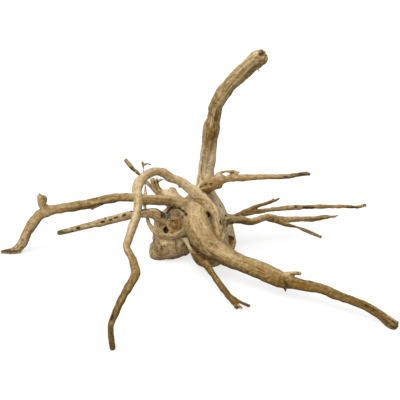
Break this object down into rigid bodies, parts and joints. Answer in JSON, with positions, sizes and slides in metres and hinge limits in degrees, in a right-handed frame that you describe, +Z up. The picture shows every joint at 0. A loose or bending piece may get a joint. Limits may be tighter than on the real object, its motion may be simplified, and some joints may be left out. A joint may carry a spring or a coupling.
{
  "type": "red moor wood root",
  "caption": "Weathered driftwood root: a knotted stump with long winding limbs that arch, fork and droop like a spider's legs, standing on its flat base.",
  "frame": {"origin": "in the flat underside of the stump, below its heart", "axes": "+Z up, +X towards the tip of the thick front limb and the thin right-hand limbs, +Y to the back, away from the two limbs that reach forward to the floor"},
  "size_m": [0.4991, 0.3187, 0.2908],
  "materials": {
    "root_wood": "bare weathered wood, matt, tan to straw with brown hollows and grain along each limb"
  },
  "bodies": {
    "root": {"moor_wood_root": "root_wood"}
  },
  "joints": []
}
